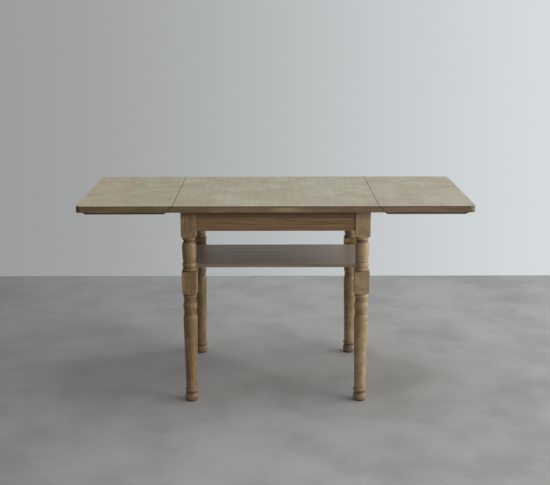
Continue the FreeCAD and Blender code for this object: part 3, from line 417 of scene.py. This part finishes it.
dress(topNodes, makeTopOak(topOak))
dress(legNodes, makeLegOak(legOak))
dress(frameNodes, makePlainOak(frameOak))
dress(battenNodes, makePlainOak(battenOak))
dress(crossNodes, makePlainOak(crossOak))
dress(["shelf"], makePlainOak(shelfBoard))
woodNodes = topNodes + legNodes + frameNodes + battenNodes + crossNodes + ["shelf"]
screwNodes = [name for name in nodes if name.endswith("_screws")]
dress(screwNodes, makeSteel(screwSteel))
dress([name for name in nodes if name not in woodNodes + screwNodes], makeSteel(dullSteel))
print("materials on", len(nodes), "nodes")

# Screws: old slotted wood screws, the CAD ones with a slot sawn across each head
screwSaw = {
    "wideMm": 1.1, "deepMm": 0.9, "longMm": 9, "turnDegrees": 37, "headMm": 3.4, "mergeMm": 0.01,
    "smoothDegrees": 30,
}


def sawSlot(screw, count, saw):
    spots = [vertex.co.copy() for vertex in screw.data.vertices]
    low = [min(spot[i] for spot in spots) for i in range(3)]
    high = [max(spot[i] for spot in spots) for i in range(3)]
    middle = [(a + b) / 2 for a, b in zip(low, high)]
    along = max(range(3), key=lambda i: high[i] - low[i])  # the way the screw points
    across = [i for i in range(3) if i != along]
    rim = [spot[along] for spot in spots
           if math.dist([spot[i] for i in across], [middle[i] for i in across]) > saw["headMm"] / 1000]
    middle[along] = rim[0]  # the flat of the head
    size = [saw["longMm"] / 1000, saw["wideMm"] / 1000, 2 * saw["deepMm"] / 1000]  # half above the head
    if along == 0:  # a screw in a side apron lies level
        size.reverse()
    lean = [0, 0, 0]
    lean[along] = math.radians(saw["turnDegrees"] * count)  # no two screws stop at the same angle
    bpy.ops.object.select_all(action="DESELECT")
    bpy.ops.mesh.primitive_cube_add(size=1, location=middle, rotation=lean)
    blade = bpy.context.object
    blade.scale = size
    bpy.ops.object.transform_apply(location=True, rotation=True, scale=True)
    bpy.context.view_layer.objects.active = screw
    cut = screw.modifiers.new("slot", "BOOLEAN")
    cut.operation = "DIFFERENCE"
    cut.solver = "EXACT"
    cut.object = blade
    bpy.ops.object.modifier_apply(modifier=cut.name)
    bpy.data.objects.remove(blade)


def slotScrews(name, saw):
    piece = bpy.data.objects.new(name + "_slotted", nodes[name].data.copy())
    bpy.context.scene.collection.objects.link(piece)
    bpy.ops.object.select_all(action="DESELECT")
    piece.select_set(True)
    bpy.context.view_layer.objects.active = piece
    bpy.ops.mesh.customdata_custom_splitnormals_clear()
    bpy.ops.object.mode_set(mode="EDIT")
    bpy.ops.mesh.select_all(action="SELECT")
    bpy.ops.mesh.remove_doubles(threshold=saw["mergeMm"] / 1000)
    bpy.ops.mesh.separate(type="LOOSE")
    bpy.ops.object.mode_set(mode="OBJECT")
    screws = sorted(bpy.context.selected_objects, key=lambda screw: screw.name)
    for count, screw in enumerate(screws):
        sawSlot(screw, count, saw)
    bpy.ops.object.select_all(action="DESELECT")
    for screw in screws:
        screw.select_set(True)
    bpy.context.view_layer.objects.active = piece
    bpy.ops.object.join()
    bpy.ops.object.shade_smooth_by_angle(angle=math.radians(saw["smoothDegrees"]))
    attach(piece, nodes[name]["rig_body"])
    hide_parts(name)
    return len(screws)


print("slots sawn in", sum(slotScrews(name, screwSaw) for name in screwNodes), "screws")

# Room: a plain pale floor with painted shade to the left, ending where the wall stands, and behind it the
# wall, painted shaded on the left and lit on the right
room = {
    "near": -7, "far": 1.46, "left": -8, "right": 3.3, "drop": 0.0005,  # a hair below the feet
    "floor": "#b9b9b8", "floorDark": "#a6a7a6", "cloudMm": 320, "cloudFade": (0.35, 0.7),
    "floorLeftShade": "#848686", "leftX": (0.1, -1.5, 0.5),
    "roughness": (0.75, 0.88), "specular": 0.2, "bump": 0.05, "bumpMm": 1,
    "wallShadedLeft": "#9c9e9d", "wallLitRight": "#dee3e6", "wallX": (-0.28, 0.42),
    "lightLeft": "#8c9093", "lightRight": "#ffffff", "lightX": (-1, 1), "lightStrength": 0.47,
}
bpy.ops.object.select_all(action="DESELECT")
bpy.ops.mesh.primitive_plane_add(size=1, location=(
    (room["left"] + room["right"]) / 2, (room["near"] + room["far"]) / 2, -room["drop"]))
floor = bpy.context.object
floor.name = "floor"
floor.scale = (room["right"] - room["left"], room["far"] - room["near"], 1)
bpy.ops.object.transform_apply(location=True, rotation=True, scale=True)
floorMaterial, tree, place = startMaterial("paleConcrete")  # trowelled concrete: soft clouds, no gloss
axes = addNode(tree, "ShaderNodeSeparateXYZ", links={"Vector": place["Object"]}).outputs
clouds = addNode(tree, "ShaderNodeTexNoise", links={
    "Vector": place["Object"], "Scale": 1000 / room["cloudMm"],
    "Detail": 6, "Roughness": 0.6}).outputs["Fac"]
shade = layColour(tree, room["floor"], room["floorDark"], [(clouds, *room["cloudFade"])])
# painted shade on the floor towards the left, away from the window
shade = layColour(tree, shade, room["floorLeftShade"], [(axes["X"], *room["leftX"])])
finishMaterial(tree, room, shade, clouds, clouds)
floor.data.materials.append(floorMaterial)

world = bpy.data.worlds.new("room")
bpy.context.scene.world = world
world.use_nodes = True
tree = world.node_tree
tree.nodes.clear()
direction = addNode(tree, "ShaderNodeTexCoord")
sides = addNode(tree, "ShaderNodeSeparateXYZ", links={"Vector": direction.outputs["Generated"]}).outputs
# the wall behind: painted shade on the left and painted light on the right
wall = layColour(tree, room["wallShadedLeft"], room["wallLitRight"], [(sides["X"], *room["wallX"])])
soft = layColour(tree, room["lightLeft"], room["lightRight"], [(sides["X"], *room["lightX"])])
path = addNode(tree, "ShaderNodeLightPath")
shown = 0
for ray in ("Is Camera Ray", "Is Glossy Ray", "Is Transmission Ray"):  # these see the wall itself
    either = addNode(tree, "ShaderNodeMath", {"operation": "MAXIMUM"}, {0: shown, 1: path.outputs[ray]})
    shown = either.outputs["Value"]
ambient = addNode(tree, "ShaderNodeBackground", links={"Color": soft, "Strength": room["lightStrength"]})
backdrop = addNode(tree, "ShaderNodeBackground", links={"Color": wall, "Strength": 1})
both = addNode(tree, "ShaderNodeMixShader", links={
    0: shown, 1: ambient.outputs["Background"], 2: backdrop.outputs["Background"]})
addNode(tree, "ShaderNodeOutputWorld", links={"Surface": both.outputs["Shader"]})

lamps = {  # a wide low window on the right, and the pale ceiling's share
    "window": {"at": (4.8, -0.9, 1.7), "aim": (0, 0, 2.4), "wide": 6, "tall": 4, "power": 268,
               "tint": "#fffaf2"},
    "ceiling": {"at": (0.6, 0.4, 4.6), "aim": (0.2, 0, 0), "wide": 5, "tall": 5, "power": 70,
                "tint": "#f8fbff"},
}
for name, lampFacts in lamps.items():
    lamp = bpy.data.lights.new(name, "AREA")
    lamp.shape = "RECTANGLE"
    lamp.size = lampFacts["wide"]
    lamp.size_y = lampFacts["tall"]
    lamp.energy = lampFacts["power"]
    lamp.color = linearColour(lampFacts["tint"])[:3]
    lampObject = bpy.data.objects.new(name, lamp)
    bpy.context.scene.collection.objects.link(lampObject)
    lampObject.location = lampFacts["at"]
    aim = [b - a for a, b in zip(lampFacts["at"], lampFacts["aim"])]
    lean = math.atan2(math.hypot(aim[0], aim[1]), -aim[2])
    lampObject.rotation_euler = (lean, 0, math.atan2(aim[1], aim[0]) - math.pi / 2)
print("room and light placed")

view = {
    "at": (-0.01205, -3.7799, 1.4054), "tilt": 0.230, "turn": -0.003, "roll": 0.001, "lens": 67.79,
    "sensor": 36,
}
camera = bpy.data.cameras.new("photoView")
camera.lens = view["lens"]
camera.sensor_width = view["sensor"]
cameraObject = bpy.data.objects.new("photoView", camera)
bpy.context.scene.collection.objects.link(cameraObject)
cameraObject.location = view["at"]
cameraObject.rotation_euler = (math.pi / 2 - view["tilt"], view["roll"], view["turn"])
bpy.context.scene.camera = cameraObject
bpy.context.scene.view_settings.view_transform = "Standard"
print("camera placed")
